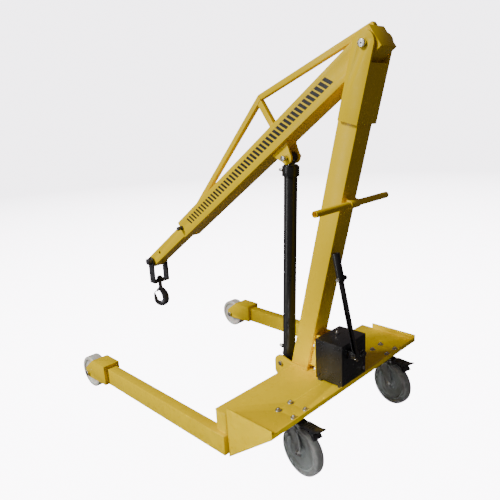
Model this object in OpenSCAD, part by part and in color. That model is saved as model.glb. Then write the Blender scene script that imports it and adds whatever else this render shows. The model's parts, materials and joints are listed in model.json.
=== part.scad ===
// Engine hoist crane: leaning mast, trussed telescopic boom, hydraulic ram and wheeled frame.
// Millimetres, +Z up, the boom and legs point along -Y, +X is the operator's left.
// Lengths along Y are first laid out from the rear edge of the deck, then moved by y_origin.

/* [Frame] */
// Width over the deck's side plates
base_w = 1040; // [980:10:1100]
// Height of the deck's top face above the floor
deck_z = 248; // [244:1:252]
// Depth of the deck from its rear edge to its front edge
deck_depth = 302; // [290:1:320]
// Thickness of the deck and side plates
plate_t = 6; // [5:1:8]
// Distance from the centre plane to the middle of each leg
leg_x = 513; // [508:1:516]
// Width of a leg tube
leg_w = 50; // [46:1:54]
// Height of a leg tube
leg_h = 85; // [75:1:90]
// Distance from the deck's rear edge to the front wheel axle
axle_reach = 1285; // [1200:5:1350]

/* [Wheels] */
// Diameter of the rear caster wheels
caster_d = 200; // [196:1:202]
// Diameter of the front wheels
front_wheel_d = 164; // [150:1:166]
// Angle that the left caster stands at
caster_turn_left = -8; // [-30:1:30]
// Angle that the right caster stands at
caster_turn_right = -12; // [-30:1:30]

/* [Mast] */
// Lean of the mast, rearward from upright
mast_lean = 14; // [10:0.5:16]
// Width of the mast tube
mast_w = 96; // [90:1:100]
// Depth of the mast tube
mast_d = 88; // [80:1:92]
// Distance along the mast from the deck to the boom pivot
mast_len = 1365.5; // [1300:0.5:1400]
// Radius of the boom pivot pin
head_pin_r = 15; // [12:0.5:16]

/* [Boom] */
// Slope of the boom below level, at its lowest
boom_slope = 35; // [30:0.5:38]
// Width of the outer boom tube
boom_w = 100; // [96:1:104]
// Distance from the pivot to the outer boom's open end
boom_len = 1369; // [1300:1:1400]
// Distance from the pivot to the tip of the extension
tip_len = 1782; // [1750:1:1850]
// Width of the extension tube
ext_w = 72; // [66:1:74]
// Height of the truss apex above the pivot, square to the boom
apex_n = 203; // [150:1:220]

/* [Ram] */
// Radius of the ram barrel
barrel_r = 29; // [26:0.5:30]
// Radius of the piston rod
rod_r = 17.5; // [15:0.5:20]
// Distance along the boom from its pivot to the ram's top pin
lug_s = 545; // [530:1:560]
// Distance of the ram's top pin below the boom pivot, square to the boom
lug_n = 102; // [98:1:106]

/* [Pump] */
// Width of the pump cover
pump_w = 172; // [160:1:180]
// Depth of the pump cover
pump_d = 133; // [125:1:133]
// Height of the pump cover
pump_h = 177.5; // [170:0.5:185]

/* [Hidden] */
$fn = 64;

yellow = [0.96, 0.78, 0.08];
black = [0.10, 0.10, 0.11];
steel = [0.72, 0.72, 0.74];
grey = [0.36, 0.38, 0.39];
nylon = [0.93, 0.93, 0.90];

fit = 0.05;       // radial running fit of a pin in its bore
gap = 0.5;        // side clearance between moving faces
seam = 0.01;      // hairline under the ram's lug pad

// --- frame -------------------------------------------------------------------
half_w = base_w / 2;
deck_under = deck_z - plate_t;
cm_depth = 60;                        // cross member, front to rear
cm_wall = 4;
cm_rear = -deck_depth + cm_depth;
leg_wall = 4;
leg_top = 154;
leg_bottom = leg_top - leg_h;
rail_h = 20;
side_top = deck_z + 26;
side_gap = 4;                         // slot between the leg's end and the side plate
side_front_z = 57;
rail_bottom = deck_z - 8;

// --- front wheels ----------------------------------------------------------------
front_r = front_wheel_d / 2;
front_wheel_w = 60;
housing_w = 88;
housing_t = 6;
housing_top = 170;
housing_bottom = 62;
housing_rear = -1112;
housing_shoulder = -1226;             // where the side plates start to slope down
front_axle_r = 10;
hex_across = 30;                      // across the corners of an axle head

// --- casters -------------------------------------------------------------------
caster_r = caster_d / 2;
caster_x = 335;
caster_y = -63;
caster_trail = 55;
caster_tyre_w = 42;
fork_t = 4;
fork_half = 26;
bolt_dx = 35.5;
bolt_dy = 38.5;
bolt_r = 5;
bolt_head_r = 9.5;

// --- mast -----------------------------------------------------------------------
mast_foot_y = -265;
mast_wall = 5;
pin_set_back = 8;                     // boom pivot behind the mast's middle
function mast_pt(l, d) = [
    mast_foot_y + l * sin(mast_lean) + d * cos(mast_lean),
    deck_z + l * cos(mast_lean) - d * sin(mast_lean)];
pivot = mast_pt(mast_len, pin_set_back);
head_t = 10;
head_in = boom_w / 2 + 4;
head_out = head_in + head_t;
head_r = 43;
head_drop = 269;                      // head plates below the pivot
web_drop = 56.5;                        // head web's top below the pivot
mast_drop = 145;                      // mast tube's top below the pivot
head_pin_half = 76;

// --- boom: s runs along the boom to its tip, n is square to it, upward ---------------
function boom_pt(s, n) = [
    pivot[0] - s * cos(boom_slope) - n * sin(boom_slope),
    pivot[1] - s * sin(boom_slope) + n * cos(boom_slope)];
boom_half = boom_w / 2;
boom_top = 41;
boom_bot = -49;
boom_wall = 5;
tail_s = -44;
tail_t = 5;
bush_r = 25;
liner_len = 180;                      // sleeve in the boom's mouth
ext_half = ext_w / 2;
ext_top = 26;
ext_bot = -36;
ext_wall = 4;
ext_start = 960;
slide_gap = 0.4;
ext_hole_s = 1658;
ext_hole_r = 8.5;
tie_half = 12.5;
post_s = 530;
post_w = 28;
lower_tie_end = 1297;
pad_t = 12;
lug_in = 21.5;
lug_t = 10;
lug_r = 28;
top_pin_r = 11;
top_pin_half = 56;
lock_s = boom_len - 15;
lock_n = 2;
lock_r = 8;

// --- hook -----------------------------------------------------------------------------
clevis_s = tip_len - 24;
clevis_n = (ext_top + ext_bot) / 2;
clevis_at = boom_pt(clevis_s, clevis_n);
clevis_bolt_r = 10;
clevis_in = 44;
clevis_t = 8;
clevis_half_w = 24;
clevis_drop = 134;
clevis_hex_r = 21;
strap_t = 10;
shank_r = 11;
hook_r = 46;
hook_bowl_r = 14;
hook_t = 28;
hook_turn = 45;                       // the hook's mouth points forward and to the left
hook_z = clevis_at[1] - 244;
strap_z = clevis_at[1] - clevis_drop;
latch_pin = [8, 62];                  // latch pivot from the bowl's middle, in the hook's plane
latch_len = 36;
latch_angle = -32;
latch_in = hook_t / 2 + gap;
latch_t = 2.5;

// --- ram ------------------------------------------------------------------------------
ram_foot = [-365, 238];
ram_top = boom_pt(lug_s, -lug_n);
ram_run = ram_top - ram_foot;
ram_len = norm(ram_run);
ram_tilt = atan2(ram_run[0], ram_run[1]);   // forward of upright is negative
foot_pin_r = 11;
foot_boss_r = 20;
gland_r = 37;
gland_len = 46;
gland_end = ram_len - 31;
barrel_end = gland_end - gland_len;
barrel_start = 34;
barrel_wall = 5;
piston_len = 40;
piston_start = 110;
rod_eye_r = 20;

// --- pump ------------------------------------------------------------------------------
pump_x = 6;
pump_rear = -1;
pump_front = pump_rear - pump_d;
pump_bottom = rail_bottom + rail_h + 0.5;
pump_top = pump_bottom + pump_h;
cover_t = 3;
bracket_t = 6;
lever_x = 42;
lever_at = [29, 396];                 // lever pivot
lever_lean = 12.5;
lever_r = 11.5;
sleeve_r = 16;
sleeve_start = 306;
sleeve_len = 116;
lever_pin_r = 6;
crank_len = 22;
crank_angle = 30;
piston_r = 5.5;
piston_z = lever_at[1] - crank_len * cos(crank_angle);
crank_r = 6;

// --- handle ----------------------------------------------------------------------------
handle_l = 796;
handle_off = mast_d / 2 + 22;
handle_r = 13;
handle_half = 241;
handle_at = mast_pt(handle_l, handle_off);

// Middle of the whole length, from the boom's tail to its tip
tail_y = boom_pt(tail_s, boom_bot)[0];
tip_y = boom_pt(tip_len, ext_top)[0];
y_origin = -(tail_y + tip_y) / 2;

// --- helpers ---------------------------------------------------------------------------
// Moves a shape from the deck's rear edge to the model's origin
module placed() {
    translate([0, y_origin, 0]) children();
}

// Plate cut to a side outline in Y and Z, between x0 and x1
module side_cut(x0, x1) {
    translate([x0, 0, 0]) rotate([90, 0, 90]) linear_extrude(x1 - x0) children();
}

// Round bar or bore along X
module cross_rod(at, r, x0, x1) {
    translate([x0, at[0], at[1]]) rotate([0, 90, 0]) cylinder(r = r, h = x1 - x0);
}

// Hexagon head along X
module cross_hex(at, r, x0, x1) {
    translate([x0, at[0], at[1]]) rotate([0, 90, 0]) cylinder(r = r, h = x1 - x0, $fn = 6);
}

module box_between(a, b) {
    translate(a) cube(b - a);
}

// Outline of a straight strip from s0 to s1 on the boom
module boom_strip(s0, s1, n0, n1) {
    polygon([boom_pt(s0, n0), boom_pt(s1, n0), boom_pt(s1, n1), boom_pt(s0, n1)]);
}

// Stands a shape along the ram, with its foot pin at the shape's origin
module on_ram() {
    translate([0, ram_foot[0], ram_foot[1]]) rotate([-ram_tilt, 0, 0]) children();
}

// --- frame parts -----------------------------------------------------------------------
module cross_member() {
    color(yellow) placed() difference() {
        box_between([-half_w, -deck_depth, leg_top], [half_w, cm_rear, deck_under]);
        box_between(
            [-half_w + cm_wall, -deck_depth + cm_wall, leg_top + cm_wall],
            [half_w - cm_wall, cm_rear - cm_wall, deck_under - cm_wall]);
    }
}

module bolt_holes(r, z0, z1) {
    for (side = [-1, 1], dx = [-bolt_dx, bolt_dx], dy = [-bolt_dy, bolt_dy])
        translate([side * caster_x + dx, caster_y + dy, z0]) cylinder(r = r, h = z1 - z0);
}

module deck_plate() {
    inner = half_w - plate_t;
    color(yellow) placed() difference() {
        union() {
            box_between([-half_w, -deck_depth, deck_under], [half_w, cm_rear, deck_z]);
            box_between([-inner, cm_rear, deck_under], [inner, -plate_t, deck_z]);
        }
        bolt_holes(bolt_r + fit, deck_under - 1, deck_z + 1);
    }
}

module side_plate(side) {
    front = cm_rear + side_gap;
    color(yellow) placed() mirror([side < 0 ? 1 : 0, 0, 0])
        side_cut(half_w - plate_t, half_w)
            polygon([
                [front, side_front_z], [0, rail_bottom],
                [0, side_top], [front, side_top]]);
}

module side_plate_left() { side_plate(1); }
module side_plate_right() { side_plate(-1); }

module rear_rail() {
    inner = half_w - plate_t;
    color(yellow) placed()
        box_between([-inner, -plate_t, rail_bottom], [inner, 0, rail_bottom + rail_h]);
}

module leg(side) {
    color(yellow) placed() translate([side * leg_x, 0, 0]) difference() {
        box_between([-leg_w / 2, housing_rear, leg_bottom], [leg_w / 2, cm_rear, leg_top]);
        box_between(
            [-leg_w / 2 + leg_wall, housing_rear - 1, leg_bottom + leg_wall],
            [leg_w / 2 - leg_wall, cm_rear - leg_wall, leg_top - leg_wall]);
    }
}

module leg_left() { leg(1); }
module leg_right() { leg(-1); }

front_axle_at = [-axle_reach, front_r];

module housing_outline() {
    nose_r = front_r - housing_bottom;
    difference() {
        union() {
            polygon([
                [housing_rear, housing_bottom + 8], [housing_rear, housing_top],
                [housing_shoulder, housing_top], [-axle_reach - nose_r, front_r + 26],
                [-axle_reach - nose_r, front_r], [-axle_reach, housing_bottom]]);
            translate(front_axle_at) circle(r = nose_r);
        }
        translate(front_axle_at) circle(r = front_axle_r + fit);
    }
}

// Cover plates over a front wheel, joined by a top plate and a back plate
module roller_housing(side) {
    half = housing_w / 2;
    color(yellow) placed() translate([side * leg_x, 0, 0]) {
        side_cut(half - housing_t, half) housing_outline();
        side_cut(-half, -half + housing_t) housing_outline();
        box_between(
            [-half + housing_t, housing_shoulder, housing_top - housing_t],
            [half - housing_t, housing_rear, housing_top]);
        box_between(
            [-half + housing_t, housing_rear - housing_t, housing_bottom + 8],
            [half - housing_t, housing_rear, housing_top - housing_t]);
    }
}

module roller_housing_left() { roller_housing(1); }
module roller_housing_right() { roller_housing(-1); }

module front_axles() {
    half = housing_w / 2;
    color(steel) placed() for (side = [-1, 1])
        mirror([side < 0 ? 1 : 0, 0, 0]) translate([leg_x, 0, 0]) {
            cross_rod(front_axle_at, front_axle_r, -half - 14, half);
            cross_hex(front_axle_at, hex_across / 2, half, half + 11);
            difference() {
                cross_hex(front_axle_at, hex_across / 2, -half - 11, -half);
                cross_rod(front_axle_at, front_axle_r, -half - 12, -half + 1);
            }
        }
}

// --- mast parts ------------------------------------------------------------------------
module mast_outline(inset, l_top) {
    front = -mast_d / 2 + inset;
    rear = mast_d / 2 - inset;
    polygon([
        [mast_foot_y + front / cos(mast_lean), deck_z], mast_pt(l_top, front),
        mast_pt(l_top, rear), [mast_foot_y + rear / cos(mast_lean), deck_z]]);
}

module mast_tube() {
    l_top = mast_len - mast_drop;
    color(yellow) placed() difference() {
        side_cut(-mast_w / 2, mast_w / 2) mast_outline(0, l_top);
        side_cut(-mast_w / 2 + mast_wall, mast_w / 2 - mast_wall) intersection() {
            mast_outline(mast_wall, l_top + 1);
            translate([-1000, deck_z + mast_wall]) square([2000, 2000]);
        }
    }
}

module head_outline() {
    d0 = pin_set_back - head_r;
    d1 = pin_set_back + head_r;
    difference() {
        union() {
            polygon([
                mast_pt(mast_len - head_drop, d0), mast_pt(mast_len, d0),
                mast_pt(mast_len, d1), mast_pt(mast_len - head_drop, d1)]);
            translate(pivot) circle(r = head_r);
        }
        translate(pivot) circle(r = head_pin_r + fit);
    }
}

module mast_head() {
    l0 = mast_len - head_drop;
    l1 = mast_len - web_drop;
    d0 = mast_d / 2;
    d1 = pin_set_back + head_r;
    color(yellow) placed() {
        side_cut(head_in, head_out) head_outline();
        side_cut(-head_out, -head_in) head_outline();
        side_cut(-head_in, head_in)
            polygon([mast_pt(l0, d0), mast_pt(l1, d0), mast_pt(l1, d1), mast_pt(l0, d1)]);
    }
}

// Packers between the mast's sides and the head plates
module head_spacers() {
    l0 = mast_len - head_drop + 6;
    l1 = mast_len - mast_drop - 6;
    d0 = pin_set_back - head_r + 6;
    d1 = mast_d / 2;
    color(yellow) placed() for (side = [-1, 1]) mirror([side < 0 ? 1 : 0, 0, 0])
        side_cut(mast_w / 2, head_in)
            polygon([mast_pt(l0, d0), mast_pt(l1, d0), mast_pt(l1, d1), mast_pt(l0, d1)]);
}

module head_pin() {
    chamfer = 2;
    color(steel) placed() {
        cross_rod(pivot, head_pin_r, -head_pin_half + chamfer, head_pin_half - chamfer);
        for (side = [-1, 1])
            translate([side * (head_pin_half - chamfer), pivot[0], pivot[1]])
                rotate([0, side * 90, 0])
                    cylinder(r1 = head_pin_r, r2 = head_pin_r - chamfer, h = chamfer);
        difference() {
            cross_rod(pivot, head_pin_r + 8, -head_out - 3, -head_out);
            cross_rod(pivot, head_pin_r, -head_out - 4, -head_out + 1);
        }
    }
}

module foot_outline() {
    r = 38;
    lip = 12;
    rear = mast_foot_y + 52;
    difference() {
        union() {
            translate(ram_foot) circle(r = r);
            polygon([
                [ram_foot[0] - r, ram_foot[1]], [ram_foot[0] - r, 190],
                [ram_foot[0] - 15, leg_top + 6], [-deck_depth, leg_top + 6],
                [-deck_depth, deck_z], [rear, deck_z], [rear, deck_z + 8],
                [-deck_depth, deck_z + lip], [ram_foot[0] + 13, ram_foot[1] + 35.7]]);
        }
        translate(ram_foot) circle(r = foot_pin_r + fit);
    }
}

module foot_brackets() {
    color(yellow) placed() for (side = [-1, 1]) mirror([side < 0 ? 1 : 0, 0, 0])
        side_cut(mast_w / 2, mast_w / 2 + 10) foot_outline();
}

module foot_pin() {
    out = mast_w / 2 + 10;
    color(steel) placed() {
        cross_rod(ram_foot, foot_pin_r, -out - 10, out + 8);
        difference() {
            cross_rod(ram_foot, foot_pin_r + 6, -out - 4, -out);
            cross_rod(ram_foot, foot_pin_r, -out - 5, -out + 1);
        }
    }
}

module push_handle() {
    color(yellow) placed() difference() {
        cross_rod(handle_at, handle_r, -handle_half, handle_half);
        cross_rod(handle_at, handle_r - 3, -handle_half - 1, handle_half + 1);
    }
}

module handle_bracket() {
    half = 30;
    color(yellow) placed() difference() {
        union() {
            cross_rod(handle_at, handle_r + 4, -half, half);
            side_cut(-half, half) polygon([
                mast_pt(handle_l - 24, mast_d / 2), mast_pt(handle_l + 24, mast_d / 2),
                mast_pt(handle_l + 12, handle_off), mast_pt(handle_l - 12, handle_off)]);
        }
        cross_rod(handle_at, handle_r, -half - 1, half + 1);
    }
}

// --- pump parts ------------------------------------------------------------------------
pump_left = pump_x + pump_w / 2;
pump_right = pump_x - pump_w / 2;
pump_bolt_x = [pump_right + 8, pump_left - 7];
pump_bolt_z = [292, 400];

function mast_rear_y(z) =
    mast_foot_y + (z - deck_z) * tan(mast_lean) + mast_d / 2 / cos(mast_lean);

// Plate behind the pump with two webs to the mast's rear face
module pump_bracket() {
    z0 = pump_bottom + 10;
    z1 = pump_top - 14;
    color(yellow) placed() difference() {
        union() {
            box_between([pump_right, pump_front - bracket_t, z0], [pump_left, pump_front, z1]);
            for (x = [-36, 30]) side_cut(x, x + 6) polygon([
                [pump_front - bracket_t, z0], [pump_front - bracket_t, z1],
                [mast_rear_y(z1), z1], [mast_rear_y(z0), z0]]);
        }
        for (x = pump_bolt_x, z = pump_bolt_z)
            translate([x, pump_front + 1, z]) rotate([90, 0, 0])
                cylinder(r = bolt_r + fit, h = bracket_t + 2);
    }
}

module pump_cover() {
    color(black) placed() difference() {
        box_between([pump_right, pump_front, pump_bottom], [pump_left, pump_rear, pump_top]);
        box_between(
            [pump_right + cover_t, pump_front + cover_t, pump_bottom - 1],
            [pump_left - cover_t, pump_rear - cover_t, pump_top - cover_t]);
        for (x = pump_bolt_x, z = pump_bolt_z)
            translate([x, pump_front + cover_t + 1, z]) rotate([90, 0, 0])
                cylinder(r = bolt_r + fit, h = cover_t + 2);
        translate([lever_x, pump_rear + 1, piston_z]) rotate([90, 0, 0])
            cylinder(r = piston_r + 1, h = cover_t + 2);
        translate([pump_x - 56, pump_rear + 1, 358]) rotate([90, 0, 0])
            cylinder(r = 5, h = cover_t + 2);
        translate([pump_x - 8, -92, pump_top - cover_t - 1]) cylinder(r = 6, h = cover_t + 2);
    }
}

// Cast block with the pump bore, standing on the deck inside the cover
module pump_block() {
    bore_front = -60;
    color(grey) placed() difference() {
        union() {
            box_between([pump_x - 62, pump_front + 12, deck_z], [pump_x + 62, -16, 374]);
            box_between([lever_x - 20, -84, 374], [lever_x + 20, -16, 410]);
            for (x = [pump_right + 4, pump_left - 22], y = [pump_front + 4, -plate_t - 20])
                box_between([x, y, deck_z], [x + 18, y + 18, pump_bottom]);
        }
        translate([lever_x, -15, piston_z]) rotate([90, 0, 0])
            cylinder(r = piston_r + fit, h = 60);
        translate([pump_x - 56, -15, 358]) rotate([90, 0, 0]) cylinder(r = 3, h = 30);
    }
}

// Ears on the cover's rear face that hold the lever's pivot pin
module lever_bracket() {
    ear_in = 12;
    ear_t = 6;
    color(black) placed() {
        for (x0 = [lever_x + ear_in, lever_x - ear_in - ear_t])
            side_cut(x0, x0 + ear_t) {
                translate(lever_at) circle(r = 13);
                polygon([
                    [pump_rear, lever_at[1] - 20], [lever_at[0], lever_at[1] - 13],
                    [lever_at[0], lever_at[1] + 13], [pump_rear, lever_at[1] + 20]]);
            }
        cross_rod(lever_at, lever_pin_r, lever_x - 23, lever_x + 23);
    }
}

module filler_plug() {
    color(steel) placed() translate([pump_x - 8, -92, pump_top]) {
        cylinder(r = 9, h = 7, $fn = 6);
        translate([0, 0, 7]) cylinder(r = 4, h = 9);
        translate([0, 0, -cover_t - 4]) cylinder(r = 5.9, h = cover_t + 4);
    }
}

module pump_bolts() {
    color(steel) placed() for (x = pump_bolt_x, z = pump_bolt_z)
        translate([x, pump_front - bracket_t, z]) rotate([90, 0, 0]) {
            translate([0, 0, -bracket_t - cover_t]) cylinder(r = bolt_r, h = bracket_t + cover_t);
            cylinder(r = bolt_head_r, h = 7, $fn = 6);
        }
}

module pump_lever() {
    color(black) placed() translate([lever_x, lever_at[0], lever_at[1]]) difference() {
        union() {
            rotate([0, 90, 0]) translate([0, 0, -11.5]) cylinder(r = 13, h = 23);
            rotate([lever_lean, 0, 0]) cylinder(r = lever_r, h = sleeve_start + 42);
            rotate([180 + crank_angle, 0, 0]) {
                translate([-6, -5, 0]) cube([12, 6, crank_len]);
                translate([-6, 0, crank_len]) rotate([0, 90, 0]) cylinder(r = crank_r, h = 12);
            }
        }
        rotate([0, 90, 0]) translate([0, 0, -12]) cylinder(r = lever_pin_r + fit, h = 24);
    }
}

// Upper tube of the lever with its clamp screw
module handle_sleeve() {
    color(black) placed() translate([lever_x, lever_at[0], lever_at[1]])
        rotate([lever_lean, 0, 0]) translate([0, 0, sleeve_start]) difference() {
            union() {
                cylinder(r = sleeve_r, h = sleeve_len);
                translate([0, 0, 10]) rotate([0, -90, 0]) cylinder(r = 4, h = 22);
                translate([0, 0, 10]) rotate([0, 90, 0]) cylinder(r = 6, h = 23);
                translate([-20, 0, 10]) rotate([0, -90, 0]) cylinder(r = 10, h = 12);
            }
            translate([0, 0, -1]) cylinder(r = lever_r + 0.1, h = sleeve_len + 2);
        }
}

crank_tip_y = lever_at[0] + crank_len * sin(crank_angle);
piston_face = crank_tip_y - crank_r - 0.5;

module pump_piston() {
    color(steel) placed() translate([lever_x, piston_face, piston_z]) rotate([90, 0, 0])
        cylinder(r = piston_r, h = piston_face + 42);
}

knob_at = [pump_x - 56, 358];

module release_knob() {
    color(black) placed() translate([knob_at[0], pump_rear + gap, knob_at[1]])
        rotate([-90, 0, 0]) {
            cylinder(r = 9, h = 4);
            translate([0, 0, 4]) cylinder(r = 13, h = 12, $fn = 10);
            translate([0, 0, -20]) cylinder(r = 3 - fit, h = 20);
        }
}

// --- rear casters ----------------------------------------------------------------------
module caster_plates() {
    color(steel) placed() difference() {
        for (side = [-1, 1]) translate([side * caster_x, caster_y, 0]) {
            box_between([-52, -55, deck_under - 6], [52, 55, deck_under]);
            translate([0, 0, deck_under - 30]) cylinder(r = 7, h = 24);
        }
        bolt_holes(bolt_r + fit, deck_under - 7, deck_under + 1);
    }
}

module caster_bolts() {
    color(steel) placed()
        for (side = [-1, 1], dx = [-bolt_dx, bolt_dx], dy = [-bolt_dy, bolt_dy])
            translate([side * caster_x + dx, caster_y + dy, 0]) {
                translate([0, 0, deck_z]) cylinder(r = bolt_head_r, h = 7, $fn = 6);
                translate([0, 0, deck_under - 15]) cylinder(r = bolt_r, h = 15 + plate_t);
                translate([0, 0, deck_under - 14]) difference() {
                    cylinder(r = bolt_head_r, h = 8, $fn = 6);
                    translate([0, 0, -1]) cylinder(r = bolt_r, h = 10);
                }
            }
}

// Turns a caster about its swivel and moves it to its side
module at_caster(side) {
    turn = side > 0 ? caster_turn_left : caster_turn_right;
    placed() translate([side * caster_x, caster_y, 0]) rotate([0, 0, turn]) children();
}

crown_z = caster_d + 6;
pedal_at = [58, 215];
pedal_half = 19;
pedal_pin_r = 3;
pedal_ear_t = 3;
pedal_out = pedal_half + gap + pedal_ear_t;
swivel_top = deck_under - 6 - gap;

module fork_leg_outline() {
    translate([caster_trail, caster_r]) circle(r = 15);
    polygon([
        [caster_trail - 15, caster_r], [-30, crown_z + 5], [36, crown_z + 5],
        [caster_trail + 12, caster_r + 50], [caster_trail + 15, caster_r]]);
}

// Fork with its riveted axle and the two ears that carry the brake pedal's pin
module caster_fork(side) {
    color(grey) at_caster(side) {
        difference() {
            union() {
                side_cut(fork_half - fork_t, fork_half) fork_leg_outline();
                side_cut(-fork_half, -fork_half + fork_t) fork_leg_outline();
                box_between([-fork_half, -30, crown_z], [fork_half, 36, crown_z + 5]);
                translate([0, 0, crown_z + 5]) cylinder(r = 38, h = swivel_top - crown_z - 5);
                for (x0 = [pedal_half + gap, -pedal_out])
                    side_cut(x0, x0 + pedal_ear_t) {
                        translate(pedal_at) circle(r = 8);
                        polygon([
                            [30, crown_z], [30, pedal_at[1] + 8],
                            [pedal_at[0], pedal_at[1] + 8], [pedal_at[0], crown_z]]);
                    }
            }
            translate([0, 0, crown_z - 1]) cylinder(r = 7 + fit, h = 50);
        }
        cross_rod([caster_trail, caster_r], 6, -fork_half - 6, fork_half + 6);
        cross_rod(pedal_at, pedal_pin_r, -pedal_out, pedal_out);
    }
}

// Tyre of the wheel, as a ring with rounded edges
module caster_tyre(side) {
    half = caster_tyre_w / 2;
    color(grey) at_caster(side) translate([0, caster_trail, caster_r]) rotate([0, 90, 0])
        rotate_extrude($fn = 96) difference() {
            translate([78, -half]) square([caster_r - 78, caster_tyre_w]);
            for (s = [-1, 1]) translate([caster_r, s * half]) rotate(45) square(9, center = true);
        }
}

module caster_hub(side) {
    color(grey) at_caster(side) translate([0, caster_trail, caster_r]) rotate([0, 90, 0])
        rotate_extrude($fn = 96) polygon([
            [6 + fit, -21.5], [20, -21.5], [24, -8], [66, -8], [70, -18], [78, -18],
            [78, 18], [70, 18], [66, 8], [24, 8], [20, 21.5], [6 + fit, 21.5]]);
}

module brake_pedal(side) {
    color(black) at_caster(side) side_cut(-pedal_half, pedal_half) difference() {
        polygon([
            [48, 211], [48, 221], [64, 223], [76, 229], [140, 232], [163, 239], [165, 235],
            [143, 226], [131, 215], [146, 196], [134, 187], [126, 192], [120, 205], [96, 215],
            [66, 208], [52, 208]]);
        translate(pedal_at) circle(r = pedal_pin_r + fit);
    }
}

module caster_fork_left() { caster_fork(1); }
module caster_fork_right() { caster_fork(-1); }
module caster_tyre_left() { caster_tyre(1); }
module caster_tyre_right() { caster_tyre(-1); }
module caster_hub_left() { caster_hub(1); }
module caster_hub_right() { caster_hub(-1); }
module brake_pedal_left() { brake_pedal(1); }
module brake_pedal_right() { brake_pedal(-1); }

// --- front wheels ----------------------------------------------------------------------
module front_wheel(side) {
    half = front_wheel_w / 2;
    side_half = housing_w / 2 - housing_t - gap;
    color(nylon) placed() translate([side * leg_x, front_axle_at[0], front_axle_at[1]])
        rotate([0, 90, 0]) rotate_extrude($fn = 96) polygon([
            [front_axle_r + fit, -side_half], [18, -side_half], [18, -half + 6],
            [front_r - 20, -half + 6], [front_r - 18, -half], [front_r - 4, -half],
            [front_r, -half + 4], [front_r, half - 4], [front_r - 4, half],
            [front_r - 18, half], [front_r - 20, half - 6], [18, half - 6],
            [18, side_half], [front_axle_r + fit, side_half]]);
}

module front_wheel_left() { front_wheel(1); }
module front_wheel_right() { front_wheel(-1); }

// --- boom parts ------------------------------------------------------------------------
module boom_tube() {
    w = boom_wall;
    color(yellow) placed() difference() {
        side_cut(-boom_half, boom_half)
            boom_strip(tail_s + tail_t, boom_len, boom_bot, boom_top);
        side_cut(-boom_half + w, boom_half - w)
            boom_strip(tail_s + tail_t - 1, boom_len + 1, boom_bot + w, boom_top - w);
        cross_rod(pivot, bush_r, -boom_half - 1, boom_half + 1);
        cross_rod(boom_pt(lock_s, lock_n), lock_r + fit, 0, boom_half + 1);
    }
}

module boom_tail_plate() {
    color(yellow) placed() side_cut(-boom_half, boom_half)
        boom_strip(tail_s, tail_s + tail_t, boom_bot, boom_top);
}

module boom_bush() {
    half = head_in - gap;
    color(steel) placed() difference() {
        cross_rod(pivot, bush_r, -half, half);
        cross_rod(pivot, head_pin_r + fit, -half - 1, half + 1);
    }
}

// Liner in the boom's mouth that the extension slides through
module boom_collar() {
    w = boom_wall;
    color(yellow) placed() difference() {
        side_cut(-boom_half + w, boom_half - w)
            boom_strip(boom_len - liner_len, boom_len, boom_bot + w, boom_top - w);
        side_cut(-ext_half - slide_gap, ext_half + slide_gap)
            boom_strip(
                boom_len - liner_len - 1, boom_len + 1,
                ext_bot - slide_gap, ext_top + slide_gap);
        cross_rod(boom_pt(lock_s, lock_n), lock_r + fit, 0, boom_half);
    }
}

// Truss: outer line of each tie, and the depth of both
tie_tail_n = 58;
tie_depth = 26;
tie_rise = (apex_n - tie_tail_n) / (post_s - tail_s);
tie_fall = (apex_n - boom_top) / (lower_tie_end - post_s);

module truss_post() {
    under = apex_n - tie_depth;
    outer = [
        boom_pt(post_s, boom_top), boom_pt(post_s + post_w, boom_top),
        boom_pt(post_s + post_w, under - post_w * tie_fall), boom_pt(post_s, under)];
    color(yellow) placed() side_cut(-tie_half, tie_half) polygon(outer);
}

module truss_upper_tie() {
    s_low = tail_s + (tie_depth + boom_top - tie_tail_n) / tie_rise;
    color(yellow) placed() side_cut(-tie_half, tie_half) polygon([
        boom_pt(tail_s, boom_top), boom_pt(s_low, boom_top),
        boom_pt(post_s, apex_n - tie_depth), boom_pt(post_s, apex_n),
        boom_pt(tail_s, tie_tail_n)]);
}

module truss_lower_tie() {
    s_low = lower_tie_end - tie_depth / tie_fall;
    color(yellow) placed() side_cut(-tie_half, tie_half) polygon([
        boom_pt(post_s, apex_n), boom_pt(lower_tie_end, boom_top),
        boom_pt(s_low, boom_top), boom_pt(post_s, apex_n - tie_depth)]);
}

module ram_lug_pad() {
    color(yellow) placed() side_cut(-lug_in - lug_t, lug_in + lug_t)
        boom_strip(lug_s - 42, lug_s + 58, boom_bot - pad_t, boom_bot - seam);
}

module lug_outline() {
    top = boom_bot - pad_t;
    difference() {
        union() {
            translate(ram_top) circle(r = lug_r);
            polygon([
                boom_pt(lug_s - 38, top), boom_pt(lug_s + 55, top),
                boom_pt(lug_s + 15, -lug_n - 23.6), boom_pt(lug_s - lug_r, -lug_n)]);
        }
        translate(ram_top) circle(r = top_pin_r + fit);
    }
}

module ram_lugs() {
    color(yellow) placed() for (side = [-1, 1]) mirror([side < 0 ? 1 : 0, 0, 0])
        side_cut(lug_in, lug_in + lug_t) lug_outline();
}

// The ram's top pin as two stubs, one in each lug
module ram_top_pins() {
    color(steel) placed() for (side = [-1, 1]) mirror([side < 0 ? 1 : 0, 0, 0])
        cross_rod(ram_top, top_pin_r, lug_in, top_pin_half);
}

// Screw that clamps the extension, with its head clear of the boom's side
module boom_lock_screw() {
    at = boom_pt(lock_s, lock_n);
    color(steel) placed() {
        cross_rod(at, lock_r, ext_half + slide_gap, boom_half + gap);
        cross_rod(at, lock_r + 4, boom_half + gap, boom_half + gap + 6);
        cross_rod(at, lock_r - 1, boom_half + gap + 6, boom_half + gap + 16);
        cross_hex(at, lock_r + 3, boom_half + gap + 16, boom_half + gap + 29);
    }
}

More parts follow.
